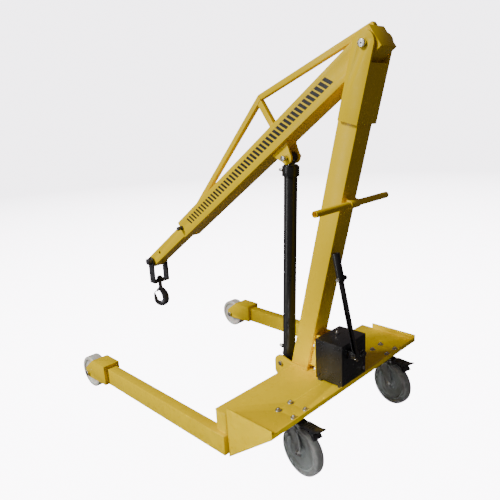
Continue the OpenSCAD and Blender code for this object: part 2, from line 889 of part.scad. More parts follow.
module extension_tube() {
    w = ext_wall;
    color(yellow) placed() difference() {
        side_cut(-ext_half, ext_half) boom_strip(ext_start, tip_len, ext_bot, ext_top);
        side_cut(-ext_half + w, ext_half - w)
            boom_strip(ext_start - 1, tip_len + 1, ext_bot + w, ext_top - w);
        cross_rod(boom_pt(ext_hole_s, clevis_n + 5), ext_hole_r, -ext_half - 1, ext_half + 1);
        cross_rod(clevis_at, clevis_bolt_r + fit, -ext_half - 1, ext_half + 1);
    }
}

module clevis_bolt() {
    out = clevis_in + clevis_t + gap;
    color(black) placed() {
        cross_rod(clevis_at, clevis_bolt_r, -out - 12, out + 24);
        cross_hex(clevis_at, clevis_hex_r, -out - 12, -out);
        difference() {
            cross_hex(clevis_at, clevis_hex_r, out, out + 16);
            cross_rod(clevis_at, clevis_bolt_r, out - 1, out + 17);
        }
    }
}

// --- hook parts ------------------------------------------------------------------------
module hook_clevis() {
    y = clevis_at[0];
    z = clevis_at[1];
    color(grey) placed() difference() {
        union() {
            for (x0 = [clevis_in, -clevis_in - clevis_t]) {
                box_between([x0, y - clevis_half_w, strap_z], [x0 + clevis_t, y + clevis_half_w, z]);
                cross_rod(clevis_at, clevis_half_w, x0, x0 + clevis_t);
            }
            box_between(
                [-clevis_in, y - clevis_half_w, strap_z],
                [clevis_in, y + clevis_half_w, strap_z + strap_t]);
        }
        cross_rod(clevis_at, clevis_bolt_r + fit, -clevis_in - 20, clevis_in + 20);
        translate([0, y, strap_z - 1]) cylinder(r = shank_r + fit, h = strap_t + 2);
    }
}

// The hook's plane: x is toward its mouth, y is up, from the bowl's middle
module in_hook() {
    placed() translate([0, clevis_at[0], hook_z]) rotate([90, 0, -hook_turn]) children();
}

module hook_outline() {
    difference() {
        union() {
            circle(r = hook_r);
            polygon([
                [-11, 76], [11, 76], [15, 66], [15, 56], [12, 44], [0, 20], [-hook_r, 0],
                [-44, 22], [-36, 44], [-24, 60], [-14, 68]]);
            hull() {
                translate([37, 6]) circle(r = 9);
                translate([40, 34]) circle(r = 5.5);
            }
        }
        hull() {
            translate([9, 0]) circle(r = hook_bowl_r);
            translate([18, 40]) circle(r = hook_bowl_r);
        }
        translate(latch_pin) circle(r = 3);
    }
}

module hook() {
    color(black) {
        in_hook() translate([0, 0, -hook_t / 2]) linear_extrude(hook_t) hook_outline();
        placed() translate([0, clevis_at[0], hook_z + 76])
            cylinder(r = shank_r, h = strap_z + strap_t + 22 - hook_z - 76);
    }
}

module hook_nut() {
    color(black) placed() translate([0, clevis_at[0], strap_z + strap_t + gap]) difference() {
        cylinder(r = 19, h = 15, $fn = 6);
        translate([0, 0, -1]) cylinder(r = shank_r, h = 17);
    }
}

module hook_latch() {
    color(steel) in_hook() translate([latch_pin[0], latch_pin[1], 0]) {
        latch_out = latch_in + latch_t;
        translate([0, 0, -latch_out]) cylinder(r = 2.9, h = 2 * latch_out);
        for (z0 = [-latch_out, latch_in]) translate([0, 0, z0]) rotate(latch_angle)
            translate([-5, -5]) cube([21, 10, latch_t]);
        rotate(latch_angle) translate([13.5, -5, -latch_out]) cube([latch_t, 10, 2 * latch_out]);
        rotate(latch_angle) translate([16, -3, -9]) cube([latch_len - 16, 3, 18]);
    }
}

// --- ram parts -------------------------------------------------------------------------
module ram_barrel() {
    boss_half = mast_w / 2 - gap;
    color(black) placed() on_ram() difference() {
        union() {
            cylinder(r = barrel_r, h = barrel_end);
            rotate([0, 90, 0]) translate([0, 0, -boss_half])
                cylinder(r = foot_boss_r, h = 2 * boss_half);
            translate([0, -barrel_r + 4, 52]) rotate([90, 0, 0]) cylinder(r = 8, h = 14);
        }
        translate([0, 0, barrel_start]) cylinder(r = barrel_r - barrel_wall, h = barrel_end);
        rotate([0, 90, 0]) translate([0, 0, -boss_half - 1])
            cylinder(r = foot_pin_r + fit, h = 2 * boss_half + 2);
    }
}

module ram_gland() {
    color(black) placed() on_ram() translate([0, 0, barrel_end]) difference() {
        union() {
            cylinder(r = gland_r, h = gland_len - 6);
            cylinder(r = gland_r - 6, h = gland_len);
            translate([0, -gland_r + 4, 20]) rotate([90, 0, 0]) cylinder(r = 6, h = 12);
        }
        translate([0, 0, -1]) cylinder(r = rod_r + fit, h = gland_len + 2);
    }
}

module ram_rod() {
    color(steel) placed() on_ram() {
        translate([0, 0, piston_start])
            cylinder(r = barrel_r - barrel_wall - fit, h = piston_len);
        translate([0, 0, piston_start + piston_len])
            cylinder(r = rod_r, h = ram_len - piston_start - piston_len - 4);
        translate([-lug_in + gap, 0, ram_len]) rotate([0, 90, 0])
            cylinder(r = rod_eye_r, h = 2 * (lug_in - gap));
    }
}

cross_member();
deck_plate();
side_plate_left();
side_plate_right();
rear_rail();
leg_left();
leg_right();
roller_housing_left();
roller_housing_right();
front_axles();
mast_tube();
mast_head();
head_spacers();
head_pin();
foot_brackets();
foot_pin();
push_handle();
handle_bracket();
pump_bracket();
pump_cover();
pump_block();
lever_bracket();
filler_plug();
pump_bolts();
caster_plates();
caster_bolts();
boom_tube();
boom_tail_plate();
boom_bush();
boom_collar();
truss_post();
truss_upper_tie();
truss_lower_tie();
ram_lug_pad();
ram_lugs();
ram_top_pins();
boom_lock_screw();
extension_tube();
clevis_bolt();
hook_clevis();
hook();
hook_nut();
hook_latch();
ram_barrel();
ram_gland();
ram_rod();
pump_lever();
handle_sleeve();
pump_piston();
release_knob();
caster_fork_left();
caster_tyre_left();
caster_hub_left();
brake_pedal_left();
caster_fork_right();
caster_tyre_right();
caster_hub_right();
brake_pedal_right();
front_wheel_left();
front_wheel_right();
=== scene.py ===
import json
from math import cos, pi, radians, sin

import bmesh
import bpy
from mathutils import Matrix, Vector


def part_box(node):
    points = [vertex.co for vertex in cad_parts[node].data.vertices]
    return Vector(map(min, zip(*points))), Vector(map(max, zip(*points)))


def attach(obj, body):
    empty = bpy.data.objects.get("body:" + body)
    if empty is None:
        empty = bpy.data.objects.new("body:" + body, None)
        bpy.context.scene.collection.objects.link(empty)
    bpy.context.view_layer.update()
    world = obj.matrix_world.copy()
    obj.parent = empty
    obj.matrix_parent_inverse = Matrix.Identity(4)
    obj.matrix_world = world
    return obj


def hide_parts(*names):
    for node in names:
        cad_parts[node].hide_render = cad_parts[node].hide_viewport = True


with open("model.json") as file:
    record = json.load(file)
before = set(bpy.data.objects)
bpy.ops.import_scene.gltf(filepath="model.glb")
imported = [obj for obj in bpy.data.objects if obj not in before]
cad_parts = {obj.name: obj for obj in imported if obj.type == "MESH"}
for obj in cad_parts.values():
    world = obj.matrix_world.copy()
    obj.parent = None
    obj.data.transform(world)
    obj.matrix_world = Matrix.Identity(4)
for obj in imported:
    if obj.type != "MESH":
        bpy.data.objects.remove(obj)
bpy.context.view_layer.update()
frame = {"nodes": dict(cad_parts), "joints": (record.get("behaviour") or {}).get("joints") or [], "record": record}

JOINTS = {j["name"]: j for j in frame["joints"]}
BODY_OF = {n: body for body, names in frame["record"]["behaviour"]["bodies"].items() for n in names}
SLOT_OF = {p["node"]: p["material_slot"] for p in frame["record"]["subparts"]}

MERGE = 1e-6
SHARP_ANGLE = 32
NOISE_MIDDLE = (0.3, 0.7)
SWEEP_SIDES = 8
# Sockets of a colour mix node: its two colours and its result
MIX_FIRST = 6
MIX_SECOND = 7
MIX_RESULT = 2


# ---------------------------------------------------------------- materials
class Nodes:
    """A short way to build one material's node tree."""

    def __init__(self, name):
        self.material = bpy.data.materials.new(name)
        self.material.use_nodes = True
        self.tree = self.material.node_tree
        self.shader = self.tree.nodes["Principled BSDF"]
        self.place = self.tree.nodes.new("ShaderNodeTexCoord").outputs["Object"]

    def add(self, kind, **values):
        node = self.tree.nodes.new(kind)
        for key, value in values.items():
            setattr(node, key, value)
        return node

    def join(self, out, into):
        self.tree.links.new(out, into)

    def noise(self, scale, detail=3.0, stretch=(1, 1, 1), rough=0.5):
        mapping = self.add("ShaderNodeMapping")
        mapping.inputs["Scale"].default_value = stretch
        self.join(self.place, mapping.inputs["Vector"])
        node = self.add("ShaderNodeTexNoise")
        node.inputs["Scale"].default_value = scale
        node.inputs["Detail"].default_value = detail
        node.inputs["Roughness"].default_value = rough
        self.join(mapping.outputs["Vector"], node.inputs["Vector"])
        return node.outputs["Fac"]

    def cells(self, scale):
        node = self.add("ShaderNodeTexVoronoi")
        node.inputs["Scale"].default_value = scale
        self.join(self.place, node.inputs["Vector"])
        return node.outputs["Distance"]

    def span(self, value, low, high, out_low=0.0, out_high=1.0):
        node = self.add("ShaderNodeMapRange")
        node.inputs["From Min"].default_value = low
        node.inputs["From Max"].default_value = high
        node.inputs["To Min"].default_value = out_low
        node.inputs["To Max"].default_value = out_high
        self.join(value, node.inputs["Value"])
        return node.outputs["Result"]

    def height(self):
        node = self.add("ShaderNodeSeparateXYZ")
        self.join(self.place, node.inputs["Vector"])
        return node.outputs["Z"]

    def times(self, a, b):
        node = self.add("ShaderNodeMath", operation="MULTIPLY")
        self.join(a, node.inputs[0])
        self.join(b, node.inputs[1])
        return node.outputs["Value"]

    def mix(self, factor, first, second):
        node = self.add("ShaderNodeMix", data_type="RGBA")
        self.join(factor, node.inputs["Factor"])
        for socket, value in ((node.inputs[MIX_FIRST], first), (node.inputs[MIX_SECOND], second)):
            if isinstance(value, tuple):
                socket.default_value = (*value, 1.0)
            else:
                self.join(value, socket)
        return node.outputs[MIX_RESULT]

    def color(self, value):
        self.join(value, self.shader.inputs["Base Color"])

    def rough(self, noise, low, high):
        """Roughness that follows a noise between low and high."""
        self.join(self.span(noise, *NOISE_MIDDLE, low, high), self.shader.inputs["Roughness"])

    def bump(self, *layers):
        """Each layer is (value, strength, distance in metres)."""
        normal = None
        for value, strength, distance in layers:
            node = self.add("ShaderNodeBump")
            node.inputs["Strength"].default_value = strength
            node.inputs["Distance"].default_value = distance
            self.join(value, node.inputs["Height"])
            if normal:
                self.join(normal, node.inputs["Normal"])
            normal = node.outputs["Normal"]
        self.join(normal, self.shader.inputs["Normal"])

    def fixed(self, **values):
        for key, value in values.items():
            self.shader.inputs[key.replace("_", " ")].default_value = value


def enamel(name, deep, bright, dusty, gloss=(0.24, 0.36)):
    """Sprayed paint: soft colour drift, orange peel, and a little dust low down."""
    m = Nodes(name)
    drift = m.span(m.noise(3.0, 4.0), 0.35, 0.65)
    tone = m.mix(drift, deep, bright)
    specks = m.span(m.noise(220.0, 2.0), 0.66, 0.78)
    low = m.span(m.height(), 0.02, 0.30, 0.55, 0.0)
    dust = m.times(m.span(m.noise(26.0, 6.0, rough=0.7), 0.46, 0.72), low)
    tone = m.mix(dust, tone, dusty)
    tone = m.mix(m.times(specks, m.span(m.noise(9.0), 0.5, 0.7, 0.0, 0.5)), tone, dusty)
    m.color(tone)
    m.rough(m.noise(40.0, 5.0), *gloss)
    m.bump((m.noise(420.0, 2.0), 0.12, 0.0004), (m.noise(12.0, 2.0), 0.05, 0.002))
    m.fixed(Specular_IOR_Level=0.22)
    return m.material


def powder_coat(name, dark, worn, rough):
    """Satin black finish with a fine grain and faint rub marks."""
    m = Nodes(name)
    rubbed = m.span(m.noise(30.0, 7.0, (1, 1, 0.25), 0.7), 0.58, 0.78)
    m.color(m.mix(rubbed, dark, worn))
    m.rough(m.noise(60.0, 4.0), *rough)
    m.bump((m.noise(420.0, 3.0), 0.03, 0.0002))
    m.fixed(Specular_IOR_Level=0.5)
    return m.material


def plated(name, bright, dull, rough=(0.22, 0.42)):
    """Zinc plated steel: patchy, finely brushed."""
    m = Nodes(name)
    patches = m.span(m.cells(140.0), 0.1, 0.8)
    m.color(m.mix(patches, bright, dull))
    m.rough(m.noise(90.0, 6.0), *rough)
    m.bump((m.noise(700.0, 2.0, (1, 1, 6)), 0.12, 0.0002))
    m.fixed(Metallic=1.0)
    return m.material


def forged(name, dark, rubbed):
    """Dark forged steel with scale pits and rubbed high spots."""
    m = Nodes(name)
    worn = m.span(m.noise(55.0, 6.0, rough=0.65), 0.52, 0.70)
    m.color(m.mix(worn, dark, rubbed))
    m.rough(m.noise(70.0, 4.0), 0.34, 0.56)
    m.bump((m.noise(160.0, 6.0), 0.25, 0.0006), (m.cells(420.0), 0.12, 0.0004))
    m.fixed(Metallic=0.85)
    return m.material


def chrome(name):
    m = Nodes(name)
    m.color(m.mix(m.noise(8.0), (0.80, 0.81, 0.83), (0.90, 0.90, 0.92)))
    m.rough(m.noise(40.0, 3.0, (1, 1, 0.2)), 0.12, 0.20)
    m.bump((m.noise(60.0, 2.0, (1, 1, 0.2)), 0.02, 0.0001))
    m.fixed(Metallic=1.0)
    return m.material


def rubber(name, base, scuffed):
    """Grey elastic rubber: matte and scuffed."""
    m = Nodes(name)
    scuff = m.span(m.noise(48.0, 8.0, rough=0.7), 0.45, 0.70)
    m.color(m.mix(scuff, base, scuffed))
    m.rough(m.noise(80.0, 5.0), 0.55, 0.78)
    m.bump((m.noise(520.0, 4.0), 0.3, 0.0004), (m.noise(60.0, 5.0), 0.12, 0.0008))
    m.fixed(Sheen_Weight=0.15, Sheen_Roughness=0.5)
    return m.material


def moulded(name, base, light, rough=(0.38, 0.55), grain=600.0, under=0.0):
    """Moulded or turned plastic with a fine grain."""
    m = Nodes(name)
    m.color(m.mix(m.span(m.noise(18.0, 5.0), 0.35, 0.7), base, light))
    m.rough(m.noise(50.0, 4.0), *rough)
    m.bump((m.noise(grain, 3.0), 0.16, 0.0003), (m.noise(20.0), 0.06, 0.001))
    m.fixed(Subsurface_Weight=under, Subsurface_Scale=0.006)
    return m.material


def vinyl(name):
    m = Nodes(name)
    m.color(m.mix(m.span(m.noise(60.0, 6.0), 0.45, 0.75), (0.012, 0.012, 0.012), (0.035, 0.033, 0.028)))
    m.rough(m.noise(45.0, 3.0), 0.34, 0.5)
    m.bump((m.noise(500.0, 2.0), 0.08, 0.0002))
    return m.material


def floor_finish(name):
    m = Nodes(name)
    m.color(m.mix(m.span(m.noise(1.2, 3.0), 0.3, 0.7), (0.10, 0.098, 0.102), (0.11, 0.108, 0.112)))
    m.rough(m.noise(6.0), 0.75, 0.85)
    m.bump((m.noise(180.0), 0.02, 0.0005))
    return m.material


FINISH = {
    "yellow_paint": enamel("yellow_enamel", (0.90, 0.63, 0.0), (0.97, 0.69, 0.0), (0.64, 0.44, 0.03)),
    "zinc_steel": plated("zinc_plate", (0.72, 0.71, 0.68), (0.50, 0.50, 0.50)),
    "black_paint": powder_coat(
        "black_powder_coat", (0.014, 0.014, 0.016), (0.026, 0.025, 0.026), (0.26, 0.36)),
    "dark_steel": forged("forged_steel", (0.10, 0.10, 0.115), (0.30, 0.30, 0.33)),
    "chromed_rod": chrome("ground_chrome"),
    "black_plastic": moulded("black_knob_plastic", (0.010, 0.010, 0.011), (0.022, 0.022, 0.024)),
    "cast_iron": forged("pump_casting", (0.09, 0.095, 0.10), (0.18, 0.18, 0.19)),
    "grey_rubber": rubber("tyre_rubber", (0.17, 0.178, 0.178), (0.25, 0.255, 0.25)),
    "grey_plastic": moulded("hub_plastic", (0.19, 0.21, 0.21), (0.25, 0.27, 0.27)),
    "grey_steel": enamel(
        "fork_enamel", (0.16, 0.17, 0.17), (0.20, 0.215, 0.215), (0.22, 0.2, 0.17), (0.4, 0.55)),
    "white_nylon": moulded("white_nylon", (0.70, 0.69, 0.64), (0.82, 0.81, 0.77), (0.3, 0.5), 300.0, 0.25),
}
MARKING = vinyl("black_marking_film")


# ---------------------------------------------------------------- mesh helpers
def link(obj):
    bpy.context.scene.collection.objects.link(obj)


def finish_mesh(name, bm, slot, body, smooth=SHARP_ANGLE, material=None):
    """Turns a bmesh into a piece that rides on a CAD body."""
    bmesh.ops.remove_doubles(bm, verts=bm.verts, dist=MERGE)
    bmesh.ops.recalc_face_normals(bm, faces=bm.faces)
    mesh = bpy.data.meshes.new(name)
    bm.to_mesh(mesh)
    bm.free()
    mesh.materials.append(material or FINISH[slot])
    obj = bpy.data.objects.new(name, mesh)
    link(obj)
    mesh.shade_smooth()
    mesh.set_sharp_from_angle(angle=radians(smooth))
    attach(obj, body)
    return obj


def rounded(node, radius, segments=3):
    """The CAD node with its sharp edges rounded, standing in for the plain one."""
    source = frame["nodes"][node]
    bm = bmesh.new()
    bm.from_mesh(source.data)
    bmesh.ops.remove_doubles(bm, verts=bm.verts, dist=MERGE)
    bmesh.ops.dissolve_limit(
        bm, angle_limit=radians(1.0), verts=bm.verts, edges=bm.edges, delimit={"NORMAL"})
    sharp = [e for e in bm.edges if e.is_manifold and e.calc_face_angle(0.0) > radians(SHARP_ANGLE)]
    bmesh.ops.bevel(
        bm, geom=sharp, offset=radius, offset_type="OFFSET", segments=segments, profile=0.5,
        affect="EDGES", clamp_overlap=True, harden_normals=False)
    piece = finish_mesh(node + "_skin", bm, SLOT_OF[node], BODY_OF[node])
    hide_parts(node)
    return piece


def ring_frames(points, closed):
    """Tangent, side and up directions along a path, carried without twist."""
    count = len(points)
    frames = []
    side = None
    for i, p in enumerate(points):
        after = points[(i + 1) % count] if closed or i < count - 1 else p
        before = points[i - 1] if closed or i > 0 else p
        tangent = (after - before).normalized()
        if side is None:
            guess = Vector((0, 0, 1)) if abs(tangent.z) < 0.9 else Vector((1, 0, 0))
            side = tangent.cross(guess).normalized()
        side = (side - tangent * side.dot(tangent)).normalized()
        frames.append((p, side, tangent.cross(side)))
    return frames


def sweep(bm, points, radius, closed=False):
    """A tube along points; radius is a number or a function of the share of the way along."""
    points = [Vector(p) for p in points]
    rings = []
    last = len(points) - 1
    for i, (p, side, up) in enumerate(ring_frames(points, closed)):
        r = radius(i / last) if callable(radius) else radius
        rings.append([
            bm.verts.new(p + side * (r * cos(a)) + up * (r * sin(a)))
            for a in (2 * pi * k / SWEEP_SIDES for k in range(SWEEP_SIDES))])
    pairs = list(zip(rings, rings[1:])) + ([(rings[-1], rings[0])] if closed else [])
    for a, b in pairs:
        for k in range(SWEEP_SIDES):
            j = (k + 1) % SWEEP_SIDES
            bm.faces.new((a[k], a[j], b[j], b[k]))
    if not closed:
        bm.faces.new(rings[0][::-1])
        bm.faces.new(rings[-1])


def lathe(bm, profile, place, segments):
    """Revolves (radius, height) points about the local Z of a placement matrix."""
    rings = []
    for r, h in profile:
        if r < 1e-7:
            rings.append([bm.verts.new(place @ Vector((0, 0, h)))])
        else:
            rings.append([
                bm.verts.new(place @ Vector((r * cos(a), r * sin(a), h)))
                for a in (2 * pi * k / segments for k in range(segments))])
    for a, b in zip(rings, rings[1:]):
        for k in range(segments):
            j = (k + 1) % segments
            if len(a) == 1 and len(b) > 1:
                bm.faces.new((a[0], b[k], b[j]))
            elif len(b) == 1 and len(a) > 1:
                bm.faces.new((a[k], b[0], a[j]))
            elif len(a) > 1:
                bm.faces.new((a[k], b[k], b[j], a[j]))


def along(at, axis):
    """A placement with local Z along axis, at a point."""
    return Matrix.Translation(Vector(at)) @ Vector(axis).to_track_quat("Z", "Y").to_matrix().to_4x4()


def ring_profile(inner, outer, low, high):
    """The closed profile of a plain ring."""
    return [(inner, low), (outer, low), (outer, high), (inner, high), (inner, low)]


def turned(name, profile, place, segments, slot, body, smooth=SHARP_ANGLE):
    """One turned piece: a profile revolved about the local Z of its placement."""
    bm = bmesh.new()
    lathe(bm, profile, place, segments)
    return finish_mesh(name, bm, slot, body, smooth)


RIPPLE = 0.0035
BEAD_START = 0.25
BEAD_RUN_IN = 14


def weld(name, corners, body, size):
    """A weld bead with small overlapping ripples, laid along straight runs between corners."""
    bm = bmesh.new()
    for start, end in zip(corners, corners[1:]):
        a, b = Vector(start), Vector(end)
        count = max(4, int((b - a).length / (RIPPLE / 3)))
        points = [a.lerp(b, i / count) for i in range(count + 1)]
        phase = (b - a).length / RIPPLE * pi

        def radius(t, phase=phase):
            taper = min(1.0, BEAD_RUN_IN * t + BEAD_START, BEAD_RUN_IN * (1 - t) + BEAD_START)
            return size * (0.82 + 0.18 * abs(sin(t * phase))) * taper

        sweep(bm, points, radius)
    finish_mesh(name, bm, "yellow_paint", body, smooth=70)


# ---------------------------------------------------------------- boom directions
lift_at = Vector(JOINTS["boom_lift"]["pos_m"])
boom_dir = Vector(JOINTS["extension_slide"]["axis"]).normalized()
boom_up = Vector((0, boom_dir.z, -boom_dir.y))
clevis_at = Vector(JOINTS["clevis_swing"]["pos_m"])


def on_boom(s, n, x=0.0):
    """A point s metres along the boom from its pivot, n above its line."""
    return lift_at + boom_dir * s + boom_up * n + Vector((x, 0, 0))


BOOM_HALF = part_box("boom_tube")[1].x
BOOM_TOP = 0.041
BOOM_BOTTOM = -0.049
LUG_PAD_BOTTOM = -0.061
BOOM_TAIL = -0.039
ROD_EYE_HALF = 0.0208

# ---------------------------------------------------------------- plain nodes, given rounded edges
TUBE_EDGE = 0.0038
TIE_EDGE = 0.003
PLATE_EDGE = 0.0014
ROUND_PART_EDGE = 0.0009
HUB_EDGE = 0.0012
ROLLER_EDGE = 0.0016
for tube in ("leg_left", "leg_right", "cross_member", "mast_tube", "boom_tube", "extension_tube"):
    rounded(tube, TUBE_EDGE)
for tie in ("truss_post", "truss_upper_tie", "truss_lower_tie"):
    rounded(tie, TIE_EDGE)
for plate in (
        "deck_plate", "side_plate_left", "side_plate_right", "rear_rail", "roller_housing_left",
        "roller_housing_right", "mast_head", "head_spacers", "foot_brackets", "pump_bracket",
        "handle_bracket", "boom_tail_plate", "boom_collar", "ram_lug_pad", "ram_lugs",
        "hook_clevis", "pump_cover", "lever_bracket", "caster_plates", "caster_fork_left",
        "caster_fork_right", "brake_pedal_left", "brake_pedal_right"):
    rounded(plate, PLATE_EDGE, 2)
for round_part in (
        "push_handle", "head_pin", "foot_pin", "ram_top_pins", "boom_bush", "boom_lock_screw",
        "clevis_bolt", "front_axles", "pump_bolts", "caster_bolts", "filler_plug", "hook_nut",
        "ram_barrel", "ram_gland", "pump_lever", "handle_sleeve", "release_knob"):
    rounded(round_part, ROUND_PART_EDGE, 2)
for left_plain in ("ram_rod", "pump_piston", "pump_block", "hook_latch"):
    node_obj = frame["nodes"][left_plain]
    node_obj.data.materials.clear()
    node_obj.data.materials.append(FINISH[SLOT_OF[left_plain]])


# ---------------------------------------------------------------- marks along the boom
def boom_marks(side):
    """A row of slanted black bars along one side of the boom."""
    count = 45
    first, last = 0.193, 1.272
    half_tall, slant = 0.0190, 0.010
    widest_half, narrowing = 0.0086, 0.0032
    sunk, proud = 0.0002, 0.0003
    bm = bmesh.new()
    x_in, x_out = side * (BOOM_HALF - sunk), side * (BOOM_HALF + proud)
    for i in range(count):
        s = first + (last - first) * i / (count - 1)
        half_wide = widest_half - narrowing * i / (count - 1)
        outline = [
            (s - half_wide - slant, -half_tall), (s + half_wide - slant, -half_tall),
            (s + half_wide + slant, half_tall), (s - half_wide + slant, half_tall)]
        inner = [bm.verts.new(on_boom(a, b, x_in)) for a, b in outline]
        outer = [bm.verts.new(on_boom(a, b, x_out)) for a, b in outline]
        bm.faces.new(outer)
        bm.faces.new(inner[::-1])
        for k in range(4):
            bm.faces.new((inner[k], inner[(k + 1) % 4], outer[(k + 1) % 4], outer[k]))
    name = "boom_marks_left" if side > 0 else "boom_marks_right"
    finish_mesh(name, bm, "black_plastic", "boom", material=MARKING)


boom_marks(1)
boom_marks(-1)

# ---------------------------------------------------------------- hook, forged round
latch_at = Vector(JOINTS["latch_open"]["pos_m"])
hook_axis = Vector(JOINTS["latch_open"]["axis"])
mouth_dir = Vector((0, 0, 1)).cross(hook_axis).normalized() * -1
if mouth_dir.dot(latch_at - Vector((clevis_at.x, clevis_at.y, latch_at.z))) < 0:
    mouth_dir = -mouth_dir
LATCH_AHEAD = 0.008
LATCH_ABOVE = 0.062
hook_mid = latch_at - mouth_dir * LATCH_AHEAD - Vector((0, 0, LATCH_ABOVE))


def in_hook(a, b):
    """A point of the hook's plane: a toward the mouth, b up, from the bowl's middle."""
    return hook_mid + mouth_dir * a + Vector((0, 0, b))


def spline_through(path, steps):
    """Catmull-Rom curve through tuples of any length."""
    points = []
    for i in range(len(path) - 1):
        knots = (path[max(i - 1, 0)], path[i], path[i + 1], path[min(i + 2, len(path) - 1)])
        for k in range(steps):
            t = k / steps
            weights = (
                (-t + 2 * t * t - t ** 3) / 2, (2 - 5 * t * t + 3 * t ** 3) / 2,
                (t + 4 * t * t - 3 * t ** 3) / 2, (-t * t + t ** 3) / 2)
            points.append(tuple(
                sum(w * q[c] for w, q in zip(weights, knots)) for c in range(len(path[0]))))
    points.append(path[-1])
    return points


def forged_hook():
    """Path points are (toward the mouth, up, half depth in the plane, half thickness)."""
    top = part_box("hook")[1].z - hook_mid.z
    outer_r, bowl_r, bowl_ahead, thickest = 0.0455, 0.0142, 0.009, 0.0138
    path = [
        (0, top, 0.0108, 0.0108), (0, 0.092, 0.0108, 0.0108), (0, 0.078, 0.0110, 0.0110),
        (0.0005, 0.069, 0.0135, 0.0122), (-0.004, 0.058, 0.0165, 0.0130),
        (-0.0125, 0.046, 0.0180, 0.0136), (-0.0195, 0.032, 0.0200, 0.0138),
        (-0.0235, 0.016, 0.0205, 0.0138)]
    for i in range(10):
        turn = radians(180 + 20 * i)
        outer = Vector((outer_r * cos(turn), outer_r * sin(turn)))
        inner = Vector((bowl_ahead + bowl_r * cos(turn), bowl_r * sin(turn)))
        middle = (outer + inner) / 2
        path.append((middle.x, middle.y, (outer - inner).length / 2, thickest - 0.0003 * i))
    path += [
        (0.0362, 0.012, 0.0090, 0.0100), (0.0376, 0.022, 0.0074, 0.0085),
        (0.0392, 0.031, 0.0058, 0.0065), (0.0400, 0.0370, 0.0034, 0.0040),
        (0.0402, 0.0392, 0.0012, 0.0015)]
    curve = spline_through(path, 3)
    bm = bmesh.new()
    sides = 28
    rings = []
    for i, (a, b, deep, thick) in enumerate(curve):
        before, after = curve[max(i - 1, 0)], curve[min(i + 1, len(curve) - 1)]
        run = Vector((after[0] - before[0], after[1] - before[1])).normalized()
        out = mouth_dir * -run.y + Vector((0, 0, run.x))
        rings.append([
            bm.verts.new(in_hook(a, b) + out * (deep * cos(v)) + hook_axis * (thick * sin(v)))
            for v in (2 * pi * k / sides for k in range(sides))])
    for low, high in zip(rings, rings[1:]):
        for k in range(sides):
            bm.faces.new((low[k], low[(k + 1) % sides], high[(k + 1) % sides], high[k]))
    bm.faces.new(rings[0][::-1])
    bm.faces.new(rings[-1])
    piece = finish_mesh("hook_forging", bm, "dark_steel", "hook", smooth=50)
    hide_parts("hook")


forged_hook()


def hook_thread():
    """Thread crests on the shank's end above the nut."""
    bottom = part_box("hook_nut")[1].z
    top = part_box("hook")[1].z
    root, crest, pitch = 0.0100, 0.0112, 0.0018
    profile = [(root, bottom)]
    turns = int((top - bottom) / pitch)
    for i in range(turns):
        z = bottom + i * pitch
        profile += [(crest, z + pitch * 0.35), (crest, z + pitch * 0.55), (0.0104, z + pitch)]
    profile.append((root, top + 0.0002))
    place = Matrix.Translation((0, clevis_at.y, 0))
    turned("hook_thread", profile + [profile[0]], place, 32, "dark_steel", "hook", smooth=25)


hook_thread()


def clevis_cotter():
    """Castle crown and split pin at the near end of the clevis bolt."""
    crown_tall, wire = 0.008, 0.0017
    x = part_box("clevis_bolt")[1].x - crown_tall
    crown = [(0.0100, 0), (0.0178, 0), (0.0178, 0.0040), (0.0164, 0.0054), (0.0100, 0.0054), (0.0100, 0)]
    place = along((x, clevis_at.y, clevis_at.z), (1, 0, 0))
    turned("clevis_nut_crown", crown, place, 36, "dark_steel", "extension")
    bm = bmesh.new()
    middle = Vector((x + 0.0038, clevis_at.y, clevis_at.z))
    for lean in (-1, 1):
        run = Vector((0, 0.55 * lean, 0.84)).normalized()
        bent_end = middle + run * 0.022 + Vector((0.003, 0, 0))
        sweep(bm, [middle - run * 0.019, middle + run * 0.018, bent_end], wire)
    finish_mesh("clevis_split_pin", bm, "zinc_steel", "extension")


clevis_cotter()


# ---------------------------------------------------------------- casters and front wheels
TYRE_R = 0.100
FORK_OUTSIDE = 0.026
TYRE_WALL = [
    (0.0782, 0.0172), (0.0800, 0.0192), (0.0840, 0.0206), (0.0862, 0.0206), (0.0872, 0.0198),
    (0.0882, 0.0206), (0.0925, 0.0202), (0.0960, 0.0186), (0.0982, 0.0156), (0.0994, 0.0110),
    (0.0999, 0.0055)]
AXLE_WASHER = ring_profile(0.0061, 0.0125, 0, 0.0014)
AXLE_NUT = [(0, 0.0014), (0.0096, 0.0014), (0.0098, 0.0062), (0.0088, 0.0074), (0, 0.0074)]
SWIVEL_RACE = [
    (0.0300, 0.2112), (0.0415, 0.2112), (0.0438, 0.2160), (0.0438, 0.2215), (0.0425, 0.2240),
    (0.0438, 0.2262), (0.0400, 0.2275), (0.0300, 0.2275), (0.0300, 0.2112)]
# The pedal's grips start at GRIP_FIRST from the swivel and follow its sloping top
GRIP_FIRST = 0.086
GRIP_PITCH = 0.012
PEDAL_START = 0.076
PEDAL_TOP = 0.2294
PEDAL_SLOPE = 0.0469


